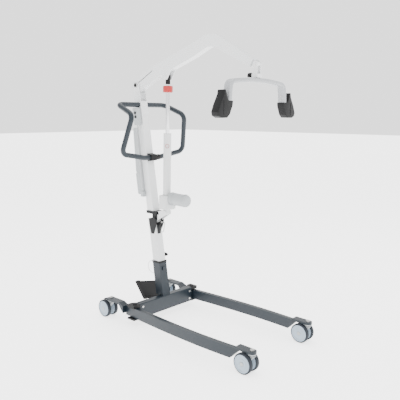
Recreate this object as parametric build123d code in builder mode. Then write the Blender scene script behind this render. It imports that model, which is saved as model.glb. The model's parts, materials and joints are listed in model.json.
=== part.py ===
"""Patient lift hoist: spreading legs on four twin casters, folding mast, powered boom and sling spreader.

Axes: +X to the right as seen from behind, +Y to the rear, +Z up, floor at Z = 0.
All sizes are in millimetres.
"""
import os
from math import cos, hypot, pi, radians, sin

from build123d import *

# ---------------------------------------------------------------- driving dimensions
# base
WHEELBASE = 1020.0          # front stems to rear stems
HALF_TRACK = 235.0          # centre plane to caster stems
BEAM_AHEAD = 199.0          # centre of the cross-beam ahead of the rear stems
BEAM_DEPTH = 42.0
BEAM_LOW = 36.0
BEAM_TOP = 122.0
LEG_W = 25.0
LEG_LOW = 47.0
LEG_TOP = 102.0
LEG_WALL = 3.0
LEG_BOW = 20.0              # how far the leg bows outwards between its ends
LEG_PIVOT_IN = 9.0          # leg pivot inboard of the stems
PIVOT_PIN_R = 8.0
PIVOT_GAP = 2.0             # leg to bracket plates
ARM_T = 12.0
NOSE_R = 21.0
STEM_R = 6.0
# casters
WHEEL_R = 50.0
HUB_R = 43.0
TRAIL = 32.0
TYRE_W = 22.0
FORK_W = 22.0
WHEEL_GAP = 2.0             # fork to wheel
AXLE_R = 4.0
RUN = 0.08                  # radial clearance of every running pin
# spreading gear
PEDAL_Z = 75.0
PEDAL_REST = 11.45          # tilt of the foot pedal with the legs closed
ROCKER_R = 22.0
SHAFT_R = 8.0
ROD_BACK = 42.0             # rod pins behind the leg pivots
ROD_IN = 26.0               # rod pins inboard of the leg pivots
ROD_PIN_R = 3.0
PEDAL_HALF = 100.0
# mast
MAST_LEAN = 0.1584          # rearward run per unit of height
MAST_W = 50.0
MAST_WALL = 3.5
SOCKET_W = 56.0
SOCKET_TOP = 312.0
FOLD_Z = 572.0
BOOM_PIVOT_Z = 1326.0
FOLD_AHEAD = 36.9           # fold pin ahead of the mast centre line
FOLD_PIN_R = 5.0
# boom and spreader
BOOM_REACH = 841.0          # boom pivot to hanger
BOOM_W = 40.0
BOOM_WALL = 3.0
BOOM_PIN_R = 8.0
SPREADER_HALF = 206.0       # centre to the bends of the spreader band
SPREADER_W = 45.0
SPREADER_T = 21.0
# lift
ACT_AHEAD = 68.0            # actuator foot ahead of the fold pin
ACT_UP = 40.0               # actuator foot above the fold pin
LIFT_ARM = 239.0            # boom pivot forward to the actuator head
ROD_R = 11.0
TUBE_R = 21.5
MOTOR_R = 34.0
MOTOR_LEN = 128.0
# handle
HANDLE_R = 14.0
HANDLE_HALF = 178.0

# ---------------------------------------------------------------- sizes that follow
FRONT_Y = -(WHEELBASE + TRAIL + WHEEL_R - NOSE_R) / 2
REAR_Y = FRONT_Y + WHEELBASE
BEAM_Y = REAR_Y - BEAM_AHEAD
BEAM_REAR = BEAM_Y + BEAM_DEPTH / 2
BEAM_FRONT = BEAM_Y - BEAM_DEPTH / 2
PIVOT_X = HALF_TRACK - LEG_PIVOT_IN
BEAM_HALF = PIVOT_X - 21.0
LEG_REAR_Y = BEAM_Y + 70.0
ARM_LOW = LEG_TOP
ARM_TOP = ARM_LOW + ARM_T
SIDES = (("left", -1), ("right", 1))


def mast_y(z):
    """Fore-and-aft place of the mast centre line at a height."""
    return BEAM_Y - 7.0 + MAST_LEAN * z


SLANT = hypot(1.0, MAST_LEAN)
MAST_FRONT = -MAST_W / 2 * SLANT
MAST_REAR = MAST_W / 2 * SLANT
FOLD_Y = mast_y(FOLD_Z) - FOLD_AHEAD
PIVOT_Y = mast_y(BOOM_PIVOT_Z) - 2.0
FOOT = (FOLD_Y - ACT_AHEAD, FOLD_Z + ACT_UP)
HEAD = (PIVOT_Y - LIFT_ARM, BOOM_PIVOT_Z + 36.0)
HANG_Y = PIVOT_Y - BOOM_REACH
SPREADER_TOP = BOOM_PIVOT_Z + 4.0


# ---------------------------------------------------------------- shaping helpers
def slab(plane, outline, thickness, mode=Mode.ADD, corner=0.0):
    """Closed outline on a plane, carried along its normal."""
    with BuildSketch(plane) as face:
        with BuildLine():
            Polyline(*outline, close=True)
        make_face()
        if corner > 0:
            fillet(face.vertices(), radius=corner)
    extrude(face.sketch, amount=thickness, mode=mode)


def side_slab(outline, x_from, x_to, mode=Mode.ADD, corner=0.0):
    """Side outline of (y, z) points carried from x_from to x_to."""
    slab(Plane.YZ.offset(x_from), outline, x_to - x_from, mode, corner)


def plan_slab(outline, z_from, z_to, mode=Mode.ADD, corner=0.0):
    """Plan outline of (x, y) points carried from z_from to z_to."""
    slab(Plane.XY.offset(z_from), outline, z_to - z_from, mode, corner)


def front_slab(outline, y_from, y_to, mode=Mode.ADD, corner=0.0):
    """Front outline of (x, z) points carried from y_from to y_to."""
    slab(Plane.XZ.offset(-y_from), outline, y_from - y_to, mode, corner)


def rod(start, end, radius, mode=Mode.ADD):
    """Round bar from one point to another."""
    run = Vector(*end) - Vector(*start)
    with BuildSketch(Plane(origin=start, z_dir=run)) as disc:
        Circle(radius)
    extrude(disc.sketch, amount=run.length, mode=mode)


def bar_x(half, y, z, radius, mode=Mode.ADD, middle=0.0):
    """Round bar across the hoist, centred on a side position."""
    rod((middle - half, y, z), (middle + half, y, z), radius, mode)


def rect(y_from, y_to, z_from, z_to):
    """Corners of an upright rectangle."""
    return ((y_from, z_from), (y_to, z_from), (y_to, z_to), (y_from, z_to))


def leaning(z_from, z_to, front, rear):
    """Side outline of a length of mast between two heights."""
    return (
        (mast_y(z_from) + front, z_from),
        (mast_y(z_from) + rear, z_from),
        (mast_y(z_to) + rear, z_to),
        (mast_y(z_to) + front, z_to),
    )


def tube_along(points, radii, radius):
    """Round tube along a run of points with rounded corners."""
    with BuildLine() as path:
        FilletPolyline(*points, radius=radii)
    start = path.line @ 0
    with BuildSketch(Plane(origin=start, z_dir=path.line % 0)) as disc:
        Circle(radius)
    sweep(disc.sketch, path=path.wire())
    return path.wire().length


os.makedirs("parts", exist_ok=True)


def save(builder, label):
    """Write one finished piece."""
    builder.part.label = label
    export_step(builder.part, f"parts/{label}.step")


# ---------------------------------------------------------------- casters
HEAD_LOW = ARM_LOW - 10.0
HEAD_TOP = ARM_LOW - 1.0
WHEEL_IN = FORK_W / 2 + WHEEL_GAP
WHEEL_OUT = WHEEL_IN + TYRE_W
BRAKE_Y = TRAIL + 10.0
BRAKE_Z = ARM_LOW - 16.0
BRAKE_PIN_R = 2.5

CORNERS = (
    ("front_left", -1, FRONT_Y),
    ("front_right", 1, FRONT_Y),
    ("rear_left", -1, REAR_Y),
    ("rear_right", 1, REAR_Y),
)

for corner_name, side, stem_y in CORNERS:
    stem_x = side * HALF_TRACK
    axle_y = stem_y + TRAIL
    with BuildPart() as fork:
        rod((stem_x, stem_y, HEAD_LOW), (stem_x, stem_y, ARM_TOP), STEM_R)
        rod((stem_x, stem_y, HEAD_LOW), (stem_x, stem_y, HEAD_TOP), WHEEL_IN - 0.5)
        rod((stem_x, stem_y, HEAD_TOP - 3.2), (stem_x, stem_y, HEAD_TOP), 20.0)
        web = (
            (stem_y - 18.0, HEAD_LOW),
            (stem_y + 19.0, HEAD_LOW),
            (axle_y + 12.5, WHEEL_R + 4.0),
            (axle_y + 9.0, WHEEL_R - 9.0),
            (axle_y - 9.0, WHEEL_R - 9.0),
            (axle_y - 13.0, WHEEL_R),
        )
        side_slab(web, stem_x - FORK_W / 2, stem_x + FORK_W / 2)
        bar_x(FORK_W / 2, axle_y, WHEEL_R, 13.0, middle=stem_x)
        bar_x(FORK_W, axle_y, WHEEL_R, AXLE_R + RUN, Mode.SUBTRACT, middle=stem_x)
        if stem_y == REAR_Y:
            lug = (
                (stem_y + 16.0, HEAD_LOW - 1.0),
                (stem_y + BRAKE_Y + 4.0, BRAKE_Z + 4.0),
                (stem_y + BRAKE_Y + 4.0, BRAKE_Z - 4.0),
                (axle_y - 4.0, BRAKE_Z - 20.0),
            )
            side_slab(lug, stem_x - 4.0, stem_x + 4.0)
            bar_x(FORK_W, stem_y + BRAKE_Y, BRAKE_Z, BRAKE_PIN_R + RUN, Mode.SUBTRACT, middle=stem_x)
    save(fork, f"{corner_name}_fork")

    with BuildPart() as hubs:
        bar_x(WHEEL_OUT, axle_y, WHEEL_R, AXLE_R, middle=stem_x)
        for hand in (-1, 1):
            inner = stem_x + hand * WHEEL_IN
            outer = stem_x + hand * WHEEL_OUT
            rod((inner, axle_y, WHEEL_R), (outer - hand * 3.0, axle_y, WHEEL_R), HUB_R)
            rod((inner, axle_y, WHEEL_R), (outer, axle_y, WHEEL_R), 24.0)
            rod((outer - hand * 1.5, axle_y, WHEEL_R), (outer, axle_y, WHEEL_R), 12.0, Mode.SUBTRACT)
    save(hubs, f"{corner_name}_hubs")

    with BuildPart() as tyres:
        for hand in (-1, 1):
            middle = stem_x + hand * (WHEEL_IN + WHEEL_OUT) / 2
            bar_x(TYRE_W / 2, axle_y, WHEEL_R, WHEEL_R, middle=middle)
        rims = tyres.edges().filter_by(GeomType.CIRCLE)
        fillet(rims, radius=0.8 * (WHEEL_R - HUB_R))
        bar_x(WHEEL_OUT, axle_y, WHEEL_R, HUB_R, Mode.SUBTRACT, middle=stem_x)
    save(tyres, f"{corner_name}_tyres")

    if stem_y == REAR_Y:
        pin_y = stem_y + BRAKE_Y
        with BuildPart() as brake:
            bar_x(9.0, pin_y, BRAKE_Z, BRAKE_PIN_R, middle=stem_x)
            cheek = (
                (pin_y - 5.0, BRAKE_Z - 4.0),
                (pin_y + 4.0, BRAKE_Z - 4.0),
                (pin_y + 15.0, BRAKE_Z + 8.0),
                (pin_y + 15.0, BRAKE_Z + 12.0),
                (pin_y + 6.0, BRAKE_Z + 10.0),
            )
            for hand in (-1, 1):
                side_slab(cheek, stem_x + hand * 4.5, stem_x + hand * 9.0)
            tread = (
                (pin_y + 6.5, BRAKE_Z + 6.5),
                (pin_y + 16.0, BRAKE_Z + 8.5),
                (pin_y + 16.0, BRAKE_Z + 13.0),
                (pin_y + 6.5, BRAKE_Z + 11.0),
            )
            side_slab(tread, stem_x - 10.0, stem_x + 10.0)
        save(brake, f"{corner_name}_brake_pedal")

# ---------------------------------------------------------------- base
BRACKET_OUT = PIVOT_X + 26.0
BRACKET_BACK = BEAM_REAR + 14.0
ARM_W = 2 * NOSE_R
LEG_NOSE = 62.0             # behind the front stem, at the leg's top
LEG_SLOPE = LEG_TOP - LEG_LOW

with BuildPart() as cross_beam:
    plan_slab(
        ((-BEAM_HALF, BEAM_FRONT), (BEAM_HALF, BEAM_FRONT), (BEAM_HALF, BEAM_REAR), (-BEAM_HALF, BEAM_REAR)),
        BEAM_LOW,
        BEAM_TOP,
    )
    fillet(cross_beam.edges().filter_by(Axis.X), radius=5.0)
    wall = 3.0
    side_slab(
        rect(BEAM_FRONT + wall, BEAM_REAR - wall, BEAM_LOW + wall, BEAM_TOP - wall),
        -BEAM_HALF,
        BEAM_HALF,
        Mode.SUBTRACT,
    )
save(cross_beam, "cross_beam")

with BuildPart() as pivot_brackets:
    for hand in (-1, 1):
        inner = hand * BEAM_HALF
        outer = hand * BRACKET_OUT
        plate = (
            (inner, BEAM_FRONT),
            (outer, BEAM_FRONT),
            (outer, BRACKET_BACK),
            (hand * PIVOT_X, BRACKET_BACK),
            (inner, BEAM_REAR),
        )
        plan_slab(plate, BEAM_LOW, LEG_LOW - PIVOT_GAP)
        plan_slab(plate, LEG_TOP + PIVOT_GAP, BEAM_TOP)
        plan_slab(
            (
                (inner, BEAM_FRONT),
                (inner + hand * 2.0, BEAM_FRONT),
                (inner + hand * 2.0, BEAM_REAR - 12.0),
                (inner, BEAM_REAR - 12.0),
            ),
            LEG_LOW - PIVOT_GAP,
            LEG_TOP + PIVOT_GAP,
        )
        for low, high in ((BEAM_LOW, LEG_LOW), (LEG_TOP, BEAM_TOP)):
            hole_x = hand * PIVOT_X
            rod((hole_x, BEAM_Y, low), (hole_x, BEAM_Y, high), PIVOT_PIN_R, Mode.SUBTRACT)
save(pivot_brackets, "pivot_brackets")

with BuildPart() as pivot_pins:
    for hand in (-1, 1):
        pin_x = hand * PIVOT_X
        rod((pin_x, BEAM_Y, BEAM_LOW), (pin_x, BEAM_Y, BEAM_TOP), PIVOT_PIN_R)
        rod((pin_x, BEAM_Y, BEAM_TOP), (pin_x, BEAM_Y, BEAM_TOP + 4.0), PIVOT_PIN_R + 4.0)
save(pivot_pins, "pivot_pins")

LUG_X = PIVOT_X - ROD_IN
ROD_Y = BEAM_Y + ROD_BACK
ROD_Z = {-1: PEDAL_Z - ROCKER_R, 1: PEDAL_Z + ROCKER_R}
ROD_H = 12.0
ROD_T = 8.0

for side_name, side in SIDES:
    ends = (side * PIVOT_X, BEAM_Y)
    mid = (side * (PIVOT_X + LEG_BOW), FRONT_Y + 0.4 * WHEELBASE)
    front = (side * HALF_TRACK, FRONT_Y + LEG_NOSE)
    rear = (side * (PIVOT_X - 5.0), LEG_REAR_Y)
    hollow = LEG_W / 2 - LEG_WALL
    with BuildPart() as cavity:
        with BuildSketch(Plane.XY.offset(LEG_LOW + LEG_WALL)) as core:
            with BuildLine():
                inner_curve = Spline(*[(x - hollow, y) for x, y in (front, mid, ends, rear)])
                outer_curve = Spline(*[(x + hollow, y) for x, y in (front, mid, ends, rear)])
                Line(inner_curve @ 0, outer_curve @ 0)
                Line(inner_curve @ 1, outer_curve @ 1)
            make_face()
        extrude(core.sketch, amount=LEG_TOP - LEG_LOW - 2 * LEG_WALL)
        side_slab(
            rect(FRONT_Y, FRONT_Y + LEG_NOSE + LEG_SLOPE + 14.0, LEG_LOW, LEG_TOP),
            side * HALF_TRACK - 60.0,
            side * HALF_TRACK + 60.0,
            Mode.SUBTRACT,
        )
    with BuildPart() as leg:
        with BuildSketch(Plane.XY.offset(LEG_LOW)) as plan:
            with BuildLine():
                inner_curve = Spline(
                    *[(x - LEG_W / 2, y) for x, y in (front, mid, ends, rear)]
                )
                outer_curve = Spline(
                    *[(x + LEG_W / 2, y) for x, y in (front, mid, ends, rear)]
                )
                Line(inner_curve @ 0, outer_curve @ 0)
                Line(inner_curve @ 1, outer_curve @ 1)
            make_face()
        extrude(plan.sketch, amount=LEG_TOP - LEG_LOW)
        add(cavity.part, mode=Mode.SUBTRACT)
        rod((side * PIVOT_X, BEAM_Y, LEG_LOW), (side * PIVOT_X, BEAM_Y, LEG_TOP), PIVOT_PIN_R + 3.5)
        nose_y = FRONT_Y + LEG_NOSE
        nose_cut = ((nose_y - 9.0, LEG_LOW - 1.0), (nose_y + LEG_SLOPE, LEG_LOW), (nose_y, LEG_TOP), (nose_y - 9.0, LEG_TOP))
        side_slab(nose_cut, side * HALF_TRACK - 60.0, side * HALF_TRACK + 60.0, Mode.SUBTRACT)
        if side < 0:
            lug_low, lug_high = ROD_Z[side] + ROD_H / 2 + 1.0, ROD_Z[side] + ROD_H / 2 + 9.0
            pin_end = ROD_Z[side] - ROD_H / 2
        else:
            lug_low, lug_high = ROD_Z[side] - ROD_H / 2 - 9.0, ROD_Z[side] - ROD_H / 2 - 1.0
            pin_end = ROD_Z[side] + ROD_H / 2
        lug = (
            (side * (PIVOT_X - 8.0), ROD_Y - 8.0),
            (side * LUG_X, ROD_Y - 7.0),
            (side * (LUG_X - 7.0), ROD_Y),
            (side * LUG_X, ROD_Y + 7.0),
            (side * (PIVOT_X - 8.0), ROD_Y + 14.0),
        )
        plan_slab(lug, lug_low, lug_high)
        rod((side * LUG_X, ROD_Y, (lug_low + lug_high) / 2), (side * LUG_X, ROD_Y, pin_end), ROD_PIN_R)
        rod(
            (side * PIVOT_X, BEAM_Y, LEG_LOW),
            (side * PIVOT_X, BEAM_Y, LEG_TOP),
            PIVOT_PIN_R + RUN,
            Mode.SUBTRACT,
        )
    save(leg, f"{side_name}_leg")

    arm_x = side * HALF_TRACK
    with BuildPart() as arms:
        arm_front = (
            (arm_x - NOSE_R, FRONT_Y),
            (arm_x + NOSE_R, FRONT_Y),
            (arm_x + NOSE_R, FRONT_Y + LEG_NOSE + 22.0),
            (arm_x - NOSE_R, FRONT_Y + LEG_NOSE + 22.0),
        )
        plan_slab(arm_front, ARM_LOW, ARM_TOP)
        rod((arm_x, FRONT_Y, ARM_LOW), (arm_x, FRONT_Y, ARM_TOP), NOSE_R)
        rod((arm_x, FRONT_Y, ARM_LOW), (arm_x, FRONT_Y, ARM_TOP), STEM_R + RUN, Mode.SUBTRACT)
        drop = (
            (LEG_REAR_Y, LEG_LOW + 13.0),
            (LEG_REAR_Y + 22.0, ARM_LOW - 18.0),
            (LEG_REAR_Y + 35.0, ARM_LOW - 2.0),
            (LEG_REAR_Y + 45.0, ARM_LOW),
            (REAR_Y + NOSE_R, ARM_LOW),
            (REAR_Y + NOSE_R, ARM_TOP),
            (LEG_REAR_Y + 35.0, ARM_TOP),
            (LEG_REAR_Y + 3.0, ARM_LOW - 1.0),
            (LEG_REAR_Y, ARM_LOW - 3.0),
        )
        side_slab(drop, arm_x - 1.0 - ARM_W / 2, arm_x - 1.0 + ARM_W / 2)
        rod((arm_x, REAR_Y, ARM_LOW), (arm_x, REAR_Y, ARM_TOP), STEM_R + RUN, Mode.SUBTRACT)
    save(arms, f"{side_name}_caster_arms")

    with BuildPart() as nuts:
        for stem_y in (FRONT_Y, REAR_Y):
            with BuildSketch(Plane.XY.offset(ARM_TOP)) as hexagon:
                with Locations((arm_x, stem_y)):
                    RegularPolygon(11.0, 6)
            extrude(hexagon.sketch, amount=6.0)
            rod((arm_x, stem_y, ARM_TOP), (arm_x, stem_y, ARM_TOP + 9.0), 5.0)
    save(nuts, f"{side_name}_stem_nuts")

    tilt = radians(PEDAL_REST)
    pin_x = side * ROCKER_R * sin(tilt)
    pin_z = PEDAL_Z + side * ROCKER_R * cos(tilt)
    rod_z = ROD_Z[side]
    eye = ROD_PIN_R + 4.0
    with BuildPart() as spread_rod:
        front_slab(
            (
                (side * LUG_X, rod_z - ROD_H / 2),
                (pin_x, rod_z - ROD_H / 2),
                (pin_x, rod_z + ROD_H / 2),
                (side * LUG_X, rod_z + ROD_H / 2),
            ),
            ROD_Y - ROD_T / 2,
            ROD_Y + ROD_T / 2,
        )
        rod((pin_x, ROD_Y - ROD_T / 2, pin_z), (pin_x, ROD_Y + ROD_T / 2, pin_z), eye + 1.5)
        rod((side * LUG_X, ROD_Y, rod_z - ROD_H / 2), (side * LUG_X, ROD_Y, rod_z + ROD_H / 2), eye)
        rod((pin_x, ROD_Y - ROD_T, pin_z), (pin_x, ROD_Y + ROD_T, pin_z), ROD_PIN_R + 1.0, Mode.SUBTRACT)
        rod(
            (side * LUG_X, ROD_Y, rod_z - ROD_H),
            (side * LUG_X, ROD_Y, rod_z + ROD_H),
            ROD_PIN_R + RUN,
            Mode.SUBTRACT,
        )
    save(spread_rod, f"{side_name}_spread_rod")

# foot pedal on its shaft behind the beam
SHAFT_END = BEAM_REAR + 62.0
ROCKER_Y = ROD_Y + ROD_T / 2 + 3.0
tilt = radians(PEDAL_REST)
PEDAL_X = (cos(tilt), 0.0, -sin(tilt))
PEDAL_SIDE = Plane(origin=(0.0, 0.0, PEDAL_Z), x_dir=(0.0, 1.0, 0.0), z_dir=PEDAL_X)
PEDAL_BACK = Plane(origin=(0.0, ROCKER_Y, PEDAL_Z), x_dir=PEDAL_X, z_dir=(0.0, -1.0, 0.0))
PEDAL_RISE = 80.0
PEDAL_RUN = 95.0
foot_y = BEAM_REAR + 46.0

with BuildPart() as spread_pedal:
    rod((0.0, ROCKER_Y, PEDAL_Z), (0.0, SHAFT_END, PEDAL_Z), SHAFT_R + 6.0)
    slab(
        PEDAL_BACK,
        ((-7.0, -ROCKER_R - 6.0), (7.0, -ROCKER_R - 6.0), (9.0, 0.0), (7.0, ROCKER_R + 6.0), (-7.0, ROCKER_R + 6.0), (-9.0, 0.0)),
        -6.0,
    )
    for hand in (-1, 1):
        pin_x = hand * ROCKER_R * sin(tilt)
        pin_z = PEDAL_Z + hand * ROCKER_R * cos(tilt)
        rod((pin_x, ROCKER_Y, pin_z), (pin_x, ROD_Y - ROD_T - 8.0, pin_z), ROD_PIN_R)
    tread = (
        (foot_y - 4.0, 12.0),
        (foot_y + 8.0, 8.0),
        (foot_y + PEDAL_RUN + 4.0, 8.0 + PEDAL_RISE),
        (foot_y + PEDAL_RUN - 4.0, 14.0 + PEDAL_RISE),
    )
    rim = (
        (foot_y - 7.0, 15.0),
        (foot_y + 9.0, 4.0),
        (foot_y + PEDAL_RUN + 8.0, 8.0 + PEDAL_RISE),
        (foot_y + PEDAL_RUN - 7.0, 19.0 + PEDAL_RISE),
    )
    slab(PEDAL_SIDE.offset(-PEDAL_HALF), tread, 2 * PEDAL_HALF)
    for hand in (-1, 1):
        slab(PEDAL_SIDE.offset(hand * PEDAL_HALF), rim, -hand * 22.0)
    rod((0.0, ROCKER_Y - 1.0, PEDAL_Z), (0.0, SHAFT_END + 60.0, PEDAL_Z), SHAFT_R + RUN, Mode.SUBTRACT)
save(spread_pedal, "spread_pedal")

with BuildPart() as pedal_shaft:
    rod((0.0, BEAM_REAR, PEDAL_Z), (0.0, SHAFT_END + 3.0, PEDAL_Z), SHAFT_R)
    rod((0.0, BEAM_REAR, PEDAL_Z), (0.0, BEAM_REAR + 3.0, PEDAL_Z), SHAFT_R + 4.0)
    rod((0.0, SHAFT_END + 1.0, PEDAL_Z), (0.0, SHAFT_END + 4.0, PEDAL_Z), SHAFT_R + 3.0)
save(pedal_shaft, "pedal_shaft")

# ---------------------------------------------------------------- lower mast
SOCKET_IN = MAST_W / 2 + 0.5
LOWER_TOP = FOLD_Z - 12.0
KNUCKLE_LOW = FOLD_Z - 92.0
COLLAR_LOW = FOLD_Z + 24.0
COLLAR_TOP = FOLD_Z + 40.0
NECK_R = 14.0
NECK_HALF = 24.5

with BuildPart() as mast_socket:
    outer = SOCKET_W / 2 * SLANT
    inner = SOCKET_IN * SLANT
    side_slab(leaning(BEAM_TOP, SOCKET_TOP, -outer, outer), -SOCKET_W / 2, SOCKET_W / 2)
    side_slab(leaning(BEAM_TOP, SOCKET_TOP, -inner, inner), -SOCKET_IN, SOCKET_IN, Mode.SUBTRACT)
    latch_z = SOCKET_TOP - 32.0
    side_slab(leaning(latch_z - 10.0, latch_z + 10.0, -outer - 5.0, -outer), -9.0, 9.0)
save(mast_socket, "mast_socket")

CAP_TOP = SOCKET_TOP + 10.0
with BuildPart() as socket_cap:
    outer = (SOCKET_W / 2 + 2.0) * SLANT
    inner = SOCKET_IN * SLANT
    half = SOCKET_W / 2 + 2.0
    side_slab(leaning(SOCKET_TOP, CAP_TOP, -outer, outer), -half, half)
    side_slab(leaning(SOCKET_TOP, CAP_TOP, -inner, inner), -SOCKET_IN, SOCKET_IN, Mode.SUBTRACT)
save(socket_cap, "socket_cap")

KNOB_Z = SOCKET_TOP + 38.0
KNOB_X = MAST_W / 2
with BuildPart() as lock_knob:
    knob_y = mast_y(KNOB_Z) - 8.0
    rod((KNOB_X, knob_y, KNOB_Z), (KNOB_X + 10.0, knob_y, KNOB_Z), 7.0)
    with BuildSketch(Plane.YZ.offset(KNOB_X + 10.0)) as grip:
        with Locations((knob_y, KNOB_Z)):
            Ellipse(24.0, 10.0)
    extrude(grip.sketch, amount=12.0)
    fillet(lock_knob.faces().sort_by(Axis.X)[-1].edges(), radius=3.0)
save(lock_knob, "lock_knob")

with BuildPart() as lower_mast:
    side_slab(leaning(BEAM_TOP, LOWER_TOP, MAST_FRONT, MAST_REAR), -MAST_W / 2, MAST_W / 2)
    hollow = MAST_W / 2 - MAST_WALL
    side_slab(leaning(BEAM_TOP, LOWER_TOP, -hollow * SLANT, hollow * SLANT), -hollow, hollow, Mode.SUBTRACT)
save(lower_mast, "lower_mast")

EAR_OUT = MAST_W / 2 + 5.0
BLOCK_TOP = FOLD_Z - 27.0
LATCH_Y = FOLD_Y - 22.0
LATCH_Z = FOLD_Z - 22.0
with BuildPart() as lower_fold_joint:
    cheek = (
        (mast_y(KNUCKLE_LOW) - 10.0, KNUCKLE_LOW),
        (mast_y(KNUCKLE_LOW) + 10.0, KNUCKLE_LOW),
        (mast_y(LOWER_TOP) + 14.0, LOWER_TOP - 22.0),
        (mast_y(LOWER_TOP) + 16.0, LOWER_TOP + 5.0),
        (FOLD_Y + 10.0, FOLD_Z + 8.0),
        (FOLD_Y - 8.0, FOLD_Z + 9.0),
        (FOLD_Y - 14.0, FOLD_Z - 4.0),
        (FOLD_Y - 12.0, FOLD_Z - 30.0),
    )
    for hand in (-1, 1):
        side_slab(cheek, hand * MAST_W / 2, hand * EAR_OUT)
    front_block = (
        (FOLD_Y - 12.0, BLOCK_TOP),
        (FOLD_Y - 12.0, BLOCK_TOP - 22.0),
        (mast_y(KNUCKLE_LOW) + MAST_FRONT - 2.0, KNUCKLE_LOW),
        (mast_y(KNUCKLE_LOW) + MAST_FRONT, KNUCKLE_LOW),
        (mast_y(BLOCK_TOP) + MAST_FRONT, BLOCK_TOP),
    )
    side_slab(front_block, -11.0, 11.0)
    side_slab(rect(FOLD_Y + 16.0, FOLD_Y + 34.0, LOWER_TOP, COLLAR_LOW - 0.3), -18.0, 18.0)
    side_slab(leaning(LOWER_TOP, LOWER_TOP + 5.0, MAST_FRONT + 7.0, MAST_REAR), -MAST_W / 2, MAST_W / 2)
    for hand in (-1, 1):
        side_slab(
            (
                (LATCH_Y - 7.0, LATCH_Z - 6.0),
                (LATCH_Y + 5.0, LATCH_Z - 16.0),
                (LATCH_Y + 12.0, LATCH_Z - 16.0),
                (LATCH_Y + 12.0, LATCH_Z - 6.0),
                (LATCH_Y + 6.0, LATCH_Z + 6.0),
                (LATCH_Y - 6.0, LATCH_Z + 6.0),
            ),
            hand * 5.0,
            hand * 9.0,
        )
    bar_x(EAR_OUT + 5.0, FOLD_Y, FOLD_Z, FOLD_PIN_R, Mode.SUBTRACT)
    bar_x(9.0, LATCH_Y, LATCH_Z, ROD_PIN_R + RUN, Mode.SUBTRACT)
save(lower_fold_joint, "lower_fold_joint")

with BuildPart() as fold_pin:
    bar_x(EAR_OUT, FOLD_Y, FOLD_Z, FOLD_PIN_R)
    for hand in (-1, 1):
        rod((hand * EAR_OUT, FOLD_Y, FOLD_Z), (hand * (EAR_OUT + 3.0), FOLD_Y, FOLD_Z), 8.0)
save(fold_pin, "fold_pin")

LEVER_R = 3.0
LEVER = (
    (0.0, LATCH_Y, LATCH_Z),
    (0.0, LATCH_Y - 31.0, LATCH_Z + 5.0),
    (0.0, LATCH_Y - 20.0, LATCH_Z - 48.0),
    (0.0, LATCH_Y - 12.0, LATCH_Z - 56.0),
)
with BuildPart() as latch_lever:
    bar_x(4.6, LATCH_Y, LATCH_Z, 6.0)
    bar_x(9.0, LATCH_Y, LATCH_Z, ROD_PIN_R)
    tube_along(LEVER, (10.0, 8.0), LEVER_R)
save(latch_lever, "latch_lever")

# ---------------------------------------------------------------- upper mast
FORK_LOW = BOOM_PIVOT_Z - 89.0
MAST_TOP = BOOM_PIVOT_Z + 12.0
with BuildPart() as upper_fold_joint:
    neck = (
        (FOLD_Y - 12.0, FOLD_Z),
        (FOLD_Y + NECK_R, FOLD_Z),
        (FOLD_Y + NECK_R, COLLAR_LOW),
        (FOLD_Y - 12.0, COLLAR_LOW),
    )
    side_slab(neck, -NECK_HALF, NECK_HALF)
    bar_x(NECK_HALF, FOLD_Y, FOLD_Z, NECK_R - 2.0)
    side_slab(leaning(COLLAR_LOW, COLLAR_TOP, MAST_FRONT - 30.0, MAST_REAR + 4.0), -EAR_OUT, EAR_OUT)
    bar_x(EAR_OUT, FOLD_Y, FOLD_Z, FOLD_PIN_R + RUN, Mode.SUBTRACT)
save(upper_fold_joint, "upper_fold_joint")

BAR_Z = BOOM_PIVOT_Z - 110.0
BAR_Y = mast_y(BAR_Z) - 7.0
with BuildPart() as upper_mast:
    side_slab(leaning(COLLAR_TOP, MAST_TOP, MAST_FRONT, MAST_REAR), -MAST_W / 2, MAST_W / 2)
    hollow = MAST_W / 2 - MAST_WALL
    side_slab(leaning(COLLAR_TOP, MAST_TOP, -hollow * SLANT, hollow * SLANT), -hollow, hollow, Mode.SUBTRACT)
    side_slab(leaning(FORK_LOW, MAST_TOP, -MAST_W, MAST_W), -hollow, hollow, Mode.SUBTRACT)
    bar_x(MAST_W, PIVOT_Y, BOOM_PIVOT_Z, BOOM_PIN_R, Mode.SUBTRACT)
    bar_x(MAST_W, BAR_Y, BAR_Z, HANDLE_R, Mode.SUBTRACT)
save(upper_mast, "upper_mast")

with BuildPart() as boom_pivot_pin:
    bar_x(MAST_W / 2, PIVOT_Y, BOOM_PIVOT_Z, BOOM_PIN_R)
    for hand in (-1, 1):
        side_x = hand * MAST_W / 2
        rod((side_x, PIVOT_Y, BOOM_PIVOT_Z), (side_x + hand * 6.0, PIVOT_Y, BOOM_PIVOT_Z), BOOM_PIN_R + 5.0)
save(boom_pivot_pin, "boom_pivot_pin")

LOWBAR_Z = BOOM_PIVOT_Z - 407.0
LOWBAR_Y = mast_y(LOWBAR_Z) + MAST_FRONT - HANDLE_R - 2.0
HANDLE_PATH = (
    (0.0, BAR_Y, BAR_Z),
    (HANDLE_HALF, BAR_Y, BAR_Z),
    (HANDLE_HALF + 18.0, BAR_Y - 148.0, BAR_Z - 58.0),
    (HANDLE_HALF + 54.0, LOWBAR_Y - 14.0, LOWBAR_Z + 29.0),
    (60.0, LOWBAR_Y, LOWBAR_Z),
    (0.0, LOWBAR_Y, LOWBAR_Z),
)
HANDLE_BENDS = (40.0, 40.0, 36.0, 60.0)
with BuildPart() as handle_core:
    tube_along(HANDLE_PATH, HANDLE_BENDS, HANDLE_R - 2.5)
    mirror(about=Plane.YZ)

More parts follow.
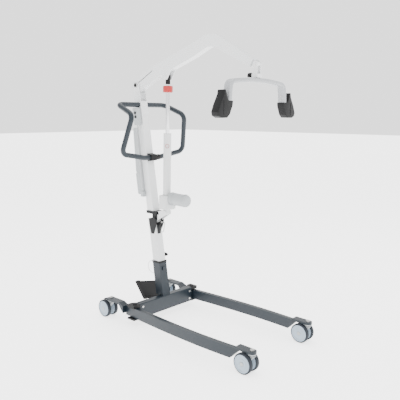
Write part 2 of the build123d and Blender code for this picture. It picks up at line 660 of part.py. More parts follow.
with BuildPart() as push_handle:
    tube_along(HANDLE_PATH, HANDLE_BENDS, HANDLE_R)
    mirror(about=Plane.YZ)
    add(handle_core.part, mode=Mode.SUBTRACT)
    rod((0.0, LOWBAR_Y, LOWBAR_Z), (0.0, LOWBAR_Y, LOWBAR_Z - 20.0), 3.0, Mode.SUBTRACT)
save(push_handle, "push_handle")

with BuildPart() as handle_clamp:
    clamp = (
        (LOWBAR_Y - HANDLE_R - 5.0, LOWBAR_Z - 16.0),
        (mast_y(LOWBAR_Z - 22.0) + MAST_FRONT, LOWBAR_Z - 22.0),
        (mast_y(LOWBAR_Z + 22.0) + MAST_FRONT, LOWBAR_Z + 22.0),
        (LOWBAR_Y - HANDLE_R - 5.0, LOWBAR_Z + 16.0),
    )
    side_slab(clamp, -22.0, 22.0)
    bar_x(22.0, LOWBAR_Y, LOWBAR_Z, HANDLE_R, Mode.SUBTRACT)
save(handle_clamp, "handle_clamp")

# ---------------------------------------------------------------- lift actuator
FOOT_Y, FOOT_Z = FOOT
HEAD_Y, HEAD_Z = HEAD
LIFT_LEN = hypot(HEAD_Y - FOOT_Y, HEAD_Z - FOOT_Z)


def on_lift(up, out=0.0):
    """Side position a distance up the actuator and out behind its centre line."""
    run = ((HEAD_Y - FOOT_Y) / LIFT_LEN, (HEAD_Z - FOOT_Z) / LIFT_LEN)
    return (FOOT_Y + up * run[0] + out * run[1], FOOT_Z + up * run[1] - out * run[0])


def lift_round(up_from, up_to, radius, mode=Mode.ADD):
    """Round length of the actuator about its centre line."""
    rod((0.0, *on_lift(up_from)), (0.0, *on_lift(up_to)), radius, mode)


def lift_box(up_from, up_to, out_from, out_to, half, mode=Mode.ADD):
    """Block of the actuator lying square to its centre line."""
    corners = (
        on_lift(up_from, out_from),
        on_lift(up_from, out_to),
        on_lift(up_to, out_to),
        on_lift(up_to, out_from),
    )
    side_slab(corners, -half, half, mode)


LIFT_PIN_R = 6.0
LUG_HALF = 15.0
CHEEK_T = 5.0
CHEEK_IN = LUG_HALF + 1.0
GEAR_LOW = 20.0
GEAR_TOP = 100.0
TUBE_TOP = 0.595 * LIFT_LEN
RING_LOW = 0.89 * LIFT_LEN
RING_TOP = RING_LOW + 36.0
RING_TRAVEL = 6.0

with BuildPart() as actuator_bracket:
    cheek = (
        (FOOT_Y - 12.0, FOOT_Z + 10.0),
        (FOOT_Y - 13.0, FOOT_Z - 8.0),
        (FOLD_Y - 12.0, FOLD_Z - 12.0),
        (FOLD_Y - 12.0, COLLAR_TOP),
        (FOOT_Y + 10.0, FOOT_Z + 14.0),
    )
    for hand in (-1, 1):
        side_slab(cheek, hand * CHEEK_IN, hand * (CHEEK_IN + CHEEK_T))
    side_slab(
        leaning(COLLAR_LOW - 1.0, COLLAR_TOP, MAST_FRONT - 40.0, MAST_FRONT),
        -EAR_OUT,
        EAR_OUT,
        Mode.SUBTRACT,
    )
    bar_x(CHEEK_IN + CHEEK_T, FOOT_Y, FOOT_Z, LIFT_PIN_R)
save(actuator_bracket, "actuator_bracket")

with BuildPart() as actuator_housing:
    lift_box(GEAR_LOW, GEAR_TOP, -38.0, 31.0, 31.0)
    fillet(actuator_housing.edges().filter_by(Axis.X), radius=8.0)
    lift_box(0.0, GEAR_LOW + 2.0, -13.0, 13.0, LUG_HALF)
    bar_x(LUG_HALF, FOOT_Y, FOOT_Z, 13.0)
    bar_x(LUG_HALF, FOOT_Y, FOOT_Z, LIFT_PIN_R + RUN, Mode.SUBTRACT)
save(actuator_housing, "actuator_housing")

with BuildPart() as actuator_motor:
    up = (GEAR_LOW + GEAR_TOP) / 2 + 25.0
    rod((0.0, *on_lift(up, -38.0)), (0.0, *on_lift(up, -38.0 - MOTOR_LEN)), MOTOR_R)
    fillet(actuator_motor.edges().filter_by(GeomType.CIRCLE).sort_by(Axis.Y)[0], radius=16.0)
save(actuator_motor, "actuator_motor")

with BuildPart() as actuator_tube:
    lift_round(GEAR_TOP, TUBE_TOP, TUBE_R)
    lift_round(GEAR_TOP, TUBE_TOP - 12.0, TUBE_R - 4.0, Mode.SUBTRACT)
    lift_round(TUBE_TOP - 12.0, TUBE_TOP, ROD_R + RUN, Mode.SUBTRACT)
save(actuator_tube, "actuator_tube")

ROD_FOOT = TUBE_TOP - 60.0
NECK_UP = RING_TOP + RING_TRAVEL + 2.0
with BuildPart() as actuator_rod:
    lift_round(ROD_FOOT, NECK_UP, ROD_R)
save(actuator_rod, "actuator_rod")

with BuildPart() as rod_end:
    lift_round(NECK_UP, LIFT_LEN, 13.0)
    bar_x(9.0, HEAD_Y, HEAD_Z, 12.0)
    reach = 20.0
    for hand in (-1, 1):
        side_slab(
            rect(HEAD_Y - reach, HEAD_Y + reach, HEAD_Z - 18.0, HEAD_Z + reach),
            hand * 9.0,
            hand * reach,
            Mode.SUBTRACT,
        )
    bar_x(reach, HEAD_Y, HEAD_Z, 7.0, Mode.SUBTRACT)
save(rod_end, "rod_end")

with BuildPart() as lowering_ring:
    lift_round(RING_LOW, RING_TOP, 27.0)
    fillet(lowering_ring.edges().filter_by(GeomType.CIRCLE), radius=5.0)
    lift_round(RING_LOW, RING_TOP, ROD_R + RUN, Mode.SUBTRACT)
save(lowering_ring, "lowering_ring")

# ---------------------------------------------------------------- boom
HANG_Z = BOOM_PIVOT_Z + 70.0
HANG_PIN_R = 5.0
# stations along the boom centre line: share of the reach, height above the pivot, half depth
STATIONS = (
    (-0.020, -10.0, 35.0),
    (0.205, 74.0, 35.0),
    (0.520, 160.0, 33.0),
    (0.640, 200.0, 31.0),
    (0.705, 196.0, 31.0),
    (0.800, 154.0, 26.0),
    (0.975, 74.0, 19.0),
)


def boom_edge(stations, hand, trim=0.0):
    """Points along one edge of the boom, above (1) or below (-1) its centre line."""
    line = [(PIVOT_Y - share * BOOM_REACH, BOOM_PIVOT_Z + up) for share, up, _ in stations]
    edge = []
    for index, (y, z) in enumerate(line):
        before = line[max(index - 1, 0)]
        after = line[min(index + 1, len(line) - 1)]
        length = hypot(after[0] - before[0], after[1] - before[1])
        normal = (-(after[1] - before[1]) / length, (after[0] - before[0]) / length)
        depth = stations[index][2] - trim
        edge.append((y - hand * depth * normal[0], z - hand * depth * normal[1]))
    return edge


with BuildPart() as boom:
    outline = boom_edge(STATIONS, 1) + boom_edge(STATIONS, -1)[::-1]
    side_slab(outline, -BOOM_W / 2, BOOM_W / 2)
    along = [edge for edge in boom.edges() if abs(edge.tangent_at(0.5).X) > 0.99]
    crown = [edge for edge in along if edge.center().Z > BOOM_PIVOT_Z + 175.0]
    fillet(crown, radius=40.0)
    inside = boom_edge(STATIONS[:-1], 1, BOOM_WALL) + boom_edge(STATIONS[:-1], -1, BOOM_WALL)[::-1]
    half = BOOM_W / 2 - BOOM_WALL
    side_slab(inside, -half, half, Mode.SUBTRACT)
    bar_x(BOOM_W, PIVOT_Y, BOOM_PIVOT_Z, BOOM_PIN_R + 5.0)
    bar_x(BOOM_W, PIVOT_Y, BOOM_PIVOT_Z, BOOM_PIN_R + RUN, Mode.SUBTRACT)
    for hand in (-1, 1):
        side_slab(
            rect(PIVOT_Y - 60.0, PIVOT_Y + 60.0, BOOM_PIVOT_Z - 60.0, BOOM_PIVOT_Z + 60.0),
            hand * BOOM_W / 2,
            hand * BOOM_W * 1.2,
            Mode.SUBTRACT,
        )
    tip_top = boom_edge(STATIONS, 1)[-1]
    tip_low = boom_edge(STATIONS, -1)[-1]
    tongue = (tip_top, tip_low, (HANG_Y + 2.0, HANG_Z - 11.5), (HANG_Y - 2.0, HANG_Z + 11.5))
    side_slab(tongue, -10.0, 10.0)
    bar_x(10.0, HANG_Y, HANG_Z, 12.0)
    bar_x(BOOM_W, HANG_Y, HANG_Z, HANG_PIN_R + RUN, Mode.SUBTRACT)
save(boom, "boom")

cap_top = boom_edge(STATIONS, 1)[0]
cap_low = boom_edge(STATIONS, -1)[0]
with BuildPart() as boom_end_cap:
    cap = (
        cap_top,
        (cap_top[0] + 20.0, cap_top[1] - 17.0),
        (cap_low[0] + 19.0, cap_low[1] + 4.0),
        cap_low,
    )
    side_slab(cap, -BOOM_W / 2, BOOM_W / 2)
    corners = boom_end_cap.edges().filter_by(Axis.X).sort_by(Axis.Y)[-2:]
    fillet(corners, radius=8.0)
save(boom_end_cap, "boom_end_cap")

UNDER = boom_edge(STATIONS, -1)[1:3]


def under_boom(y):
    """Point on the straight underside of the boom."""
    share = (y - UNDER[0][0]) / (UNDER[1][0] - UNDER[0][0])
    return (y, UNDER[0][1] + share * (UNDER[1][1] - UNDER[0][1]))


with BuildPart() as boom_bracket:
    cheek = (
        under_boom(HEAD_Y + 34.0),
        (HEAD_Y + 13.0, HEAD_Z - 13.0),
        (HEAD_Y - 9.0, HEAD_Z - 14.0),
        (HEAD_Y - 15.0, HEAD_Z - 6.0),
        under_boom(HEAD_Y - 44.0),
    )
    for hand in (-1, 1):
        side_slab(cheek, hand * 15.0, hand * 19.0)
        rod((hand * 14.5, HEAD_Y, HEAD_Z), (hand * 23.0, HEAD_Y, HEAD_Z), 6.5)
save(boom_bracket, "boom_bracket")

# ---------------------------------------------------------------- hanger and spreader
BLOCK_LOW = SPREADER_TOP + 2.0
BLOCK_TOP_Z = BLOCK_LOW + 18.0
KNOB_UP = BLOCK_LOW + 10.0
SWIVEL_R = 6.0
with BuildPart() as hanger_yoke:
    for hand in (-1, 1):
        strap = (
            (HANG_Y - 10.0, BLOCK_LOW),
            (HANG_Y + 10.0, BLOCK_LOW),
            (HANG_Y + 12.0, HANG_Z),
            (HANG_Y - 12.0, HANG_Z),
        )
        side_slab(strap, hand * 11.0, hand * 17.0)
        rod((hand * 11.0, HANG_Y, HANG_Z), (hand * 17.0, HANG_Y, HANG_Z), 13.0)
    plan_slab(
        ((-17.0, HANG_Y - 16.0), (17.0, HANG_Y - 16.0), (17.0, HANG_Y + 18.0), (-17.0, HANG_Y + 18.0)),
        BLOCK_LOW,
        BLOCK_TOP_Z,
    )
    bar_x(20.0, HANG_Y, HANG_Z, HANG_PIN_R)
    rod((0.0, HANG_Y, BLOCK_LOW), (0.0, HANG_Y, BLOCK_TOP_Z), SWIVEL_R + RUN, Mode.SUBTRACT)
    rod((0.0, HANG_Y + 8.0, KNOB_UP), (0.0, HANG_Y + 18.0, KNOB_UP), 4.0 + RUN, Mode.SUBTRACT)
save(hanger_yoke, "hanger_yoke")

with BuildPart() as quick_release_knob:
    rod((0.0, HANG_Y + 9.0, KNOB_UP), (0.0, HANG_Y + 34.0, KNOB_UP), 4.0)
    with BuildSketch(Plane.XZ.offset(-(HANG_Y + 34.0))) as moon:
        with Locations((0.0, KNOB_UP)):
            Circle(15.0)
        with Locations((0.0, KNOB_UP - 15.0)):
            Rectangle(40.0, 18.0, mode=Mode.SUBTRACT)
    extrude(moon.sketch, amount=-12.0)
save(quick_release_knob, "quick_release_knob")

BAND_Z = SPREADER_TOP - SPREADER_T / 2
BOOT_TOP = SPREADER_TOP - 108.0
BAND_END = SPREADER_HALF + 6.0
BAND = (
    (0.0, HANG_Y, BAND_Z),
    (60.0, HANG_Y, BAND_Z),
    (0.73 * SPREADER_HALF, HANG_Y, BAND_Z - 7.0),
    (SPREADER_HALF - 3.0, HANG_Y, BAND_Z - 14.0),
    (BAND_END - 2.0, HANG_Y, BOOT_TOP + 40.0),
    (BAND_END, HANG_Y, BOOT_TOP),
)
with BuildPart() as spreader_bar:
    with BuildLine() as half_path:
        FilletPolyline(*BAND, radius=(120.0, 120.0, 26.0, 60.0))
    with BuildSketch(Plane(origin=BAND[0], x_dir=(0.0, 1.0, 0.0), z_dir=(1.0, 0.0, 0.0))) as section:
        SlotOverall(SPREADER_W, SPREADER_T)
    sweep(section.sketch, path=half_path.wire())
    mirror(about=Plane.YZ)
    level = SPREADER_TOP - 300.0
    front_slab(
        ((-400.0, level), (400.0, level), (400.0, BOOT_TOP), (-400.0, BOOT_TOP)),
        HANG_Y - 60.0,
        HANG_Y + 60.0,
        Mode.SUBTRACT,
    )
    rod((0.0, HANG_Y, BAND_Z), (0.0, HANG_Y, BLOCK_TOP_Z + 1.0), SWIVEL_R)
    rod((0.0, HANG_Y, BLOCK_TOP_Z + 0.5), (0.0, HANG_Y, BLOCK_TOP_Z + 6.0), 10.0)
    rod((0.0, HANG_Y, SPREADER_TOP - 1.0), (0.0, HANG_Y, BLOCK_LOW - 0.5), 14.0)
save(spreader_bar, "spreader_bar")

BOOT_T = 42.0
BOOT = (
    (-16.0, 0.0),
    (16.0, 0.0),
    (24.0, 14.0),
    (35.0, 45.0),
    (39.0, 48.0),
    (45.0, 46.0),
    (48.0, 27.0),
    (73.0, -17.0),
    (87.0, -50.0),
    (82.0, -67.0),
    (60.0, -76.0),
    (24.0, -75.0),
    (6.0, -60.0),
    (-12.0, -22.0),
)
with BuildPart() as hook_boots:
    for hand in (-1, 1):
        outline = [(hand * (BAND_END + out), BOOT_TOP + up) for out, up in BOOT]
        front_slab(outline, HANG_Y - BOOT_T / 2, HANG_Y + BOOT_T / 2)
    across = hook_boots.edges().filter_by(Axis.Y)
    ridges = [edge for edge in across if edge.center().Z < BOOT_TOP - 30.0]
    fillet(ridges, radius=6.0)
save(hook_boots, "hook_boots")

# ---------------------------------------------------------------- electrics
BOX_HALF = 30.0
BOX_LOW = FOLD_Z + 128.0
BOX_SPLIT = BOX_LOW + 125.0
BOX_TOP = BOX_LOW + 385.0
BOX_DEEP = 60.0
CORD_R = 8.0
CORD_X = -(BOX_HALF + 11.0)
PLUG_TOP = BOX_LOW + 22.0
STOP_Z = BOX_LOW + 70.0
face_y = mast_y(STOP_Z) + MAST_REAR + BOX_DEEP
with BuildPart() as control_box:
    side_slab(leaning(BOX_LOW, BOX_SPLIT, MAST_REAR, MAST_REAR + BOX_DEEP), -BOX_HALF, BOX_HALF)
    fillet(control_box.edges().filter_by(Axis.X).sort_by(Axis.Y)[-2:], radius=8.0)
    rod((0.0, face_y - 8.0, STOP_Z), (0.0, face_y + 6.0, STOP_Z), 8.6, Mode.SUBTRACT)
    plug_y = mast_y(PLUG_TOP) + MAST_REAR
    side_slab(rect(plug_y - 10.0, plug_y + 12.0, BOX_LOW - 8.0, PLUG_TOP), CORD_X - 8.0, -BOX_HALF)
save(control_box, "control_box")

with BuildPart() as battery_pack:
    low_z = BOX_SPLIT + 1.0
    battery = (
        (mast_y(low_z) + MAST_REAR + 0.5, low_z),
        (mast_y(low_z) + MAST_REAR + BOX_DEEP - 4.0, low_z),
        (mast_y(BOX_TOP) + MAST_REAR + 0.6 * BOX_DEEP, BOX_TOP),
        (mast_y(BOX_TOP) + MAST_REAR + 0.5, BOX_TOP),
    )
    side_slab(battery, -BOX_HALF, BOX_HALF)
    fillet(battery_pack.edges().filter_by(Axis.X).sort_by(Axis.Y)[-2:], radius=10.0)
save(battery_pack, "battery_pack")

with BuildPart() as emergency_stop:
    rod((0.0, face_y - 3.0, STOP_Z), (0.0, face_y + 6.0, STOP_Z), 8.0)
    rod((0.0, face_y + 6.0, STOP_Z), (0.0, face_y + 14.0, STOP_Z), 14.0)
    fillet(emergency_stop.faces().sort_by(Axis.Y)[-1].edges(), radius=4.0)
save(emergency_stop, "emergency_stop")

SET_LOW = BOOM_PIVOT_Z - 226.0
SET_TOP = BOOM_PIVOT_Z - 126.0
SET_IN = -(MAST_W / 2 + 3.0)
SET_OUT = SET_IN - 26.0
BUTTON_R = 7.0
BUTTONS = (("up_button", SET_TOP - 30.0), ("down_button", SET_TOP - 52.0))
with BuildPart() as handset:
    side_slab(leaning(SET_LOW, SET_TOP, -19.0, 19.0), SET_IN, SET_OUT)
    fillet(handset.edges().filter_by(Axis.X), radius=9.0)
    side_slab(leaning(SET_TOP - 30.0, SET_TOP - 12.0, -12.0, 12.0), SET_IN, -MAST_W / 2)
    for _, button_z in BUTTONS:
        rod((SET_OUT, mast_y(button_z), button_z), (SET_OUT + 6.0, mast_y(button_z), button_z), BUTTON_R + RUN, Mode.SUBTRACT)
save(handset, "handset")

for button_name, button_z in BUTTONS:
    with BuildPart() as button:
        rod((SET_OUT + 3.0, mast_y(button_z), button_z), (SET_OUT - 3.0, mast_y(button_z), button_z), BUTTON_R)
    save(button, button_name)

CORD = (
    (CORD_X, mast_y(SET_LOW) + 10.0, SET_LOW - 1.3),
    (CORD_X, plug_y, PLUG_TOP + 1.3),
)
cord_run = Vector(*CORD[1]) - Vector(*CORD[0])
with BuildPart() as curly_cord:
    rod(CORD[0], CORD[1], CORD_R)
save(curly_cord, "curly_cord")
print("curly cord straight run", round(cord_run.length, 1), "no bend")
print("swept volume over section times run", round(curly_cord.part.volume / (pi * CORD_R**2 * cord_run.length), 4))
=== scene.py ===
"""Looks of a patient lift hoist, laid out as an add-on and run as a script."""
import json
from math import cos, pi, radians, sin

import bmesh
import bpy
from mathutils import Matrix, Vector


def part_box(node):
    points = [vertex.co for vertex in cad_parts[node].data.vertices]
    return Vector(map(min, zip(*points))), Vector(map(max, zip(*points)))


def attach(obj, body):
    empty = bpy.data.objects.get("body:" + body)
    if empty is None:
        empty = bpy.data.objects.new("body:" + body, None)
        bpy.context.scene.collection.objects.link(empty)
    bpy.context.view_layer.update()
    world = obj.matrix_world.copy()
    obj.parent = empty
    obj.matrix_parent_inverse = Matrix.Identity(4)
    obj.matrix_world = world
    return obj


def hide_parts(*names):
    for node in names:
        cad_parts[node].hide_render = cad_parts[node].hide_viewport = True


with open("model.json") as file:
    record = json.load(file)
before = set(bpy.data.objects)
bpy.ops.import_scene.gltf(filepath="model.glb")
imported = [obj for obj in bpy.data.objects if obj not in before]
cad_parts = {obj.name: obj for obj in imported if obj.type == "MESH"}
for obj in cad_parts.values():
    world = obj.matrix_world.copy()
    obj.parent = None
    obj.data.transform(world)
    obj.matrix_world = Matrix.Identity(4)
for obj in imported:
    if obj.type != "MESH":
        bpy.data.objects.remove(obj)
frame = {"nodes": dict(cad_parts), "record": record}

bl_info = {
    "name": "Patient lift hoist",
    "version": (1, 0, 0),
    "blender": (4, 5, 0),
    "location": "View3D > Sidebar > Hoist",
    "description": "Builds the finishes and fittings of a patient lift hoist",
    "category": "Object",
}

NODES = frame["nodes"]
CORNERS = ("front_left", "front_right", "rear_left", "rear_right")

WHEEL_DISC_RADIUS = 0.0425
WHEEL_RING_RADIUS = 0.036
HUB_CAP_RADIUS = 0.010
COIL_STEPS = 8  # control points in one turn of the curly cord
TUBE_LEAN = (0, -0.023, 1)  # direction of the actuator's tube
WARNING_RING_RADIUS = 0.0105
PEDAL_TILT = radians(11.45)
RIB_START = 0.014
RIB_PITCH = 0.015
BEAM_BOLT_X = 0.186
BOOM_SLOT_LEAN = radians(-27.2)
BATTERY_SLOPE = 0.1584  # how far the battery's face falls back per metre of height
GRIP_BARS = 5
GRIP_PITCH = 0.012
CAMERA_PLACE = (-2.04387, -1.89711, 1.15606)
CAMERA_TURN = radians(-47.11)
CAMERA_RISE = radians(9.04)
CAMERA_ROLL = radians(0.22)
CAMERA_LENS = 47.75


# ------------------------------------------------------------------ shader maths
class Wire:
    """A shader socket that takes part in Python arithmetic."""

    def __init__(self, tree, socket):
        self.tree = tree
        self.socket = socket

    def node(self, kind, settings=None, out=0, **values):
        """Adds any node, with its settings first and then its sockets' values or links."""
        made = self.tree.nodes.new(kind)
        for key, value in (settings or {}).items():
            setattr(made, key, value)
        for key, value in values.items():
            name = key.strip("_").replace("_", " ")
            target = made.inputs[int(name)] if name.isdigit() else made.inputs[name]
            if isinstance(value, Wire):
                self.tree.links.new(value.socket, target)
            else:
                target.default_value = value
        return Wire(self.tree, made.outputs[out])

    def _maths(self, operation, one, two):
        return self.node("ShaderNodeMath", {"operation": operation}, _0=one, _1=two)

    def __add__(self, other):
        return self._maths("ADD", self, other)

    def __mul__(self, other):
        return self._maths("MULTIPLY", self, other)


def finish_of(
    name, colour, roughness, metallic=0.0, coat=0.0, grain=900.0, bump=0.05, wear=0.06, gloss=0.5
):
    """A painted, moulded or plated surface with fine grain and faint uneven sheen."""
    made = bpy.data.materials.new(name)
    made.use_nodes = True
    tree = made.node_tree
    shader = tree.nodes["Principled BSDF"]
    shader.inputs["Base Color"].default_value = (*colour, 1.0)
    shader.inputs["Metallic"].default_value = metallic
    shader.inputs["Coat Weight"].default_value = coat
    shader.inputs["Specular IOR Level"].default_value = gloss
    shader.inputs["Coat Roughness"].default_value = 0.12
    start = Wire(tree, None)
    place = start.node("ShaderNodeTexCoord", out=3)
    broad = start.node("ShaderNodeTexNoise", Vector=place, Scale=9.0, Detail=3.0)
    fine = start.node("ShaderNodeTexNoise", Vector=place, Scale=grain, Detail=2.0)
    sheen = broad * (2 * wear) + (roughness - wear)
    tree.links.new(sheen.socket, shader.inputs["Roughness"])
    darker = tuple(max(0.0, part * (1 - wear)) for part in colour)
    tint = start.node(
        "ShaderNodeMix", {"data_type": "RGBA"}, out=2, _0=broad, _6=(*darker, 1.0), _7=(*colour, 1.0)
    )
    tree.links.new(tint.socket, shader.inputs["Base Color"])
    relief = start.node("ShaderNodeBump", Strength=bump, Distance=0.0004, Height=fine)
    tree.links.new(relief.socket, shader.inputs["Normal"])
    return made


# ------------------------------------------------------------------ modelling helpers
def clear_selection():
    """Nothing selected."""
    bpy.ops.object.select_all(action="DESELECT")


def lone(obj):
    """Only this piece selected and active."""
    clear_selection()
    obj.select_set(True)
    bpy.context.view_layer.objects.active = obj


def settle(obj, name, paint, body, bevel=0.0, smooth=35.0, segments=3):
    """Bevels, shades, bakes the place into the mesh and hangs the piece on its body."""
    lone(obj)
    obj.name = name
    if bevel > 0:
        mod = obj.modifiers.new("edge", "BEVEL")
        mod.width = bevel
        mod.segments = segments
        mod.limit_method = "ANGLE"
        mod.angle_limit = radians(30)
        bpy.ops.object.modifier_apply(modifier="edge")
    bpy.ops.object.transform_apply(location=True, rotation=True, scale=True)
    bpy.ops.object.shade_smooth_by_angle(angle=radians(smooth))
    obj.data.materials.clear()
    obj.data.materials.append(paint)
    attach(obj, body)
    return obj


def turned_to(axis):
    """Euler turn that points a cylinder's length along an axis."""
    return Vector(axis).to_track_quat("Z", "Y").to_euler()


def disc(centre, axis, radius, depth, vertices=48, dish=0.0, step=0.0):
    """Round disc; its outer face is inset and pushed in (dish) or out (step)."""
    clear_selection()
    bpy.ops.mesh.primitive_cylinder_add(
        vertices=vertices, radius=radius, depth=depth, location=centre, rotation=turned_to(axis)
    )
    obj = bpy.context.object
    bpy.ops.object.mode_set(mode="EDIT")
    pick_faces(obj, lambda normal, place: normal.z > 0.9)
    bpy.ops.mesh.inset(thickness=radius * 0.22)
    if dish or step:
        bpy.ops.transform.translate(value=Vector(axis).normalized() * (step - dish))
        bpy.ops.mesh.inset(thickness=radius * 0.12)
    bpy.ops.object.mode_set(mode="OBJECT")
    return obj


def pick_faces(obj, wanted):
    """Selects the faces whose local normal and centre pass a test."""
    bpy.ops.mesh.select_mode(type="FACE")
    bpy.ops.mesh.select_all(action="DESELECT")
    data = bmesh.from_edit_mesh(obj.data)
    for face in data.faces:
        face.select = wanted(face.normal, face.calc_center_median())
    data.select_flush(True)
    bmesh.update_edit_mesh(obj.data)


def block(low, high):
    """Upright block between two corners, in metres."""
    clear_selection()
    low, high = Vector(low), Vector(high)
    bpy.ops.mesh.primitive_cube_add(size=1.0, location=(low + high) / 2)
    obj = bpy.context.object
    obj.scale = high - low
    bpy.ops.object.transform_apply(location=False, rotation=False, scale=True)
    return obj


def ring(centre, axis, radius, thick, major=48, minor=12):
    """Round ring about an axis."""
    clear_selection()
    bpy.ops.mesh.primitive_torus_add(
        location=centre,
        rotation=turned_to(axis),
        major_radius=radius,
        minor_radius=thick,
        major_segments=major,
        minor_segments=minor,
    )
    return bpy.context.object


def joined(objs):
    """Several pieces as one mesh."""
    clear_selection()
    for obj in objs:
        obj.select_set(True)
    bpy.context.view_layer.objects.active = objs[0]
    bpy.ops.object.join()
    return bpy.context.object


def line_tube(name, points, radius, order):
    """Smooth round cord through control points."""
    curve = bpy.data.curves.new(name, "CURVE")
    curve.dimensions = "3D"
    spline = curve.splines.new("NURBS")
    spline.points.add(len(points) - 1)
    for point, place in zip(spline.points, points):
        point.co = (*place, 1.0)
    spline.order_u = order
    spline.use_endpoint_u = True
    curve.bevel_depth = radius
    curve.bevel_resolution = 3
    curve.resolution_u = 6
    curve.use_fill_caps = True
    obj = bpy.data.objects.new(name, curve)
    bpy.context.collection.objects.link(obj)
    return obj


def as_mesh(obj):
    """Turns a curve into a mesh."""
    lone(obj)
    bpy.ops.object.convert(target="MESH")
    return bpy.context.object


def middle(node):
    """Centre of a CAD piece."""
    low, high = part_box(node)
    return (low + high) / 2


PAINTS = {}


def paint(name):
    """A finish by the name of its material slot."""
    return PAINTS[name]


# ------------------------------------------------------------------ sizes and colours
class HoistSettings(bpy.types.PropertyGroup):
    """Sizes and colours a user would change."""

    coil_radius: bpy.props.FloatProperty(
        name="Coil radius", description="Centre of the curly cord's turns", default=0.0062, unit="LENGTH"
    )
    coil_wire: bpy.props.FloatProperty(
        name="Cord radius", description="Radius of the curly cord itself", default=0.0017, unit="LENGTH"
    )
    coil_turns: bpy.props.IntProperty(name="Coil turns", description="Turns of the curly cord", default=52)
    rivet_radius: bpy.props.FloatProperty(
        name="Rivet radius", description="Heads of the rivets on the spreader", default=0.0045, unit="LENGTH"
    )
    rib_count: bpy.props.IntProperty(name="Pedal ribs", description="Ribs across the foot pedal", default=7)
    slate: bpy.props.FloatVectorProperty(
        name="Slate paint",
        description="Paint of the base and handle",
        subtype="COLOR",
        default=(0.0050, 0.0105, 0.0165),
    )
    white: bpy.props.FloatVectorProperty(
        name="White paint",
        description="Paint of the mast and boom",
        subtype="COLOR",
        default=(0.66, 0.67, 0.675),
    )
    hub: bpy.props.FloatVectorProperty(
        name="Hub plastic", description="Wheel discs", subtype="COLOR", default=(0.30, 0.37, 0.44)
    )


def settings():
    """The sizes and colours in use."""
    return bpy.context.scene.hoist_settings


class HOIST_OT_finishes(bpy.types.Operator):
    """Gives every fixed piece its finish"""

    bl_idname = "hoist.finishes"
    bl_label = "Finishes"

    def execute(self, context):
        opts = settings()
        table = {
            "white_paint": finish_of(
                "White enamel", tuple(opts.white), 0.34, coat=0.35, bump=0.03, wear=0.03
            ),
            "slate_paint": finish_of("Slate enamel", tuple(opts.slate), 0.38, bump=0.04, gloss=0.35),
            "light_paint": finish_of("Silver-grey enamel", (0.34, 0.35, 0.365), 0.38, metallic=0.15),
            "black_casting": finish_of(
                "Black casting", (0.0045, 0.005, 0.006), 0.5, grain=500, bump=0.12, gloss=0.2
            ),
            "black_plastic": finish_of(
                "Black moulding", (0.003, 0.003, 0.0035), 0.5, grain=700, bump=0.1, gloss=0.2
            ),
            "grey_plastic": finish_of("Grey moulding", (0.36, 0.38, 0.39), 0.45, grain=800, bump=0.08),
            "light_plastic": finish_of(
                "Pale moulding", (0.58, 0.59, 0.59), 0.4, grain=800, bump=0.05, wear=0.03
            ),
            "hub_plastic": finish_of("Wheel disc plastic", tuple(opts.hub), 0.38, wear=0.04),
            "tyre_rubber": finish_of(
                "Tyre tread", (0.016, 0.020, 0.026), 0.7, grain=400, bump=0.15, gloss=0.25
            ),
            "chrome": finish_of(
                "Hard chrome", (0.78, 0.78, 0.79), 0.12, metallic=1.0, bump=0.01, wear=0.03
            ),
            "zinc": finish_of("Zinc plate", (0.55, 0.55, 0.54), 0.34, metallic=0.95, bump=0.03),
            "red_plastic": finish_of("Red moulding", (0.36, 0.003, 0.002), 0.4, coat=0.3, wear=0.04),
            "cord_grey": finish_of("Cord sheath", (0.50, 0.51, 0.52), 0.45),
        }
        PAINTS.update(table)
        for entry in frame["record"]["subparts"]:
            piece = NODES[entry["node"]]
            piece.data.materials.clear()
            piece.data.materials.append(paint(entry["material_slot"]))
        return {"FINISHED"}


class HOIST_OT_wheels(bpy.types.Operator):
    """Adds the wheel discs with their raised rings and the hub caps"""

    bl_idname = "hoist.wheels"
    bl_label = "Wheel discs"

    def execute(self, context):
        for corner in CORNERS:
            low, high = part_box(f"{corner}_hubs")
            centre = (low + high) / 2
            tyre_low, tyre_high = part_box(f"{corner}_tyres")
            discs, caps = [], []
            for hand, face in ((-1, tyre_low.x), (1, tyre_high.x)):
                axis = (hand, 0, 0)
                plate = (face - hand * 0.0017, centre.y, centre.z)
                discs.append(disc(plate, axis, WHEEL_DISC_RADIUS, 0.003, 64, dish=0.001))
                edge = (face - hand * 0.0008, centre.y, centre.z)
                discs.append(ring(edge, axis, WHEEL_RING_RADIUS, 0.0014, 64, 10))
                hub = (face - hand * 0.001, centre.y, centre.z)
                caps.append(disc(hub, axis, HUB_CAP_RADIUS, 0.0045, 32, step=0.0008))
            body = f"{corner}_wheels"
            settle(joined(discs), f"{corner}_wheel_discs", paint("hub_plastic"), body)
            settle(joined(caps), f"{corner}_hub_caps", paint("grey_plastic"), body, 0.0006)
        return {"FINISHED"}


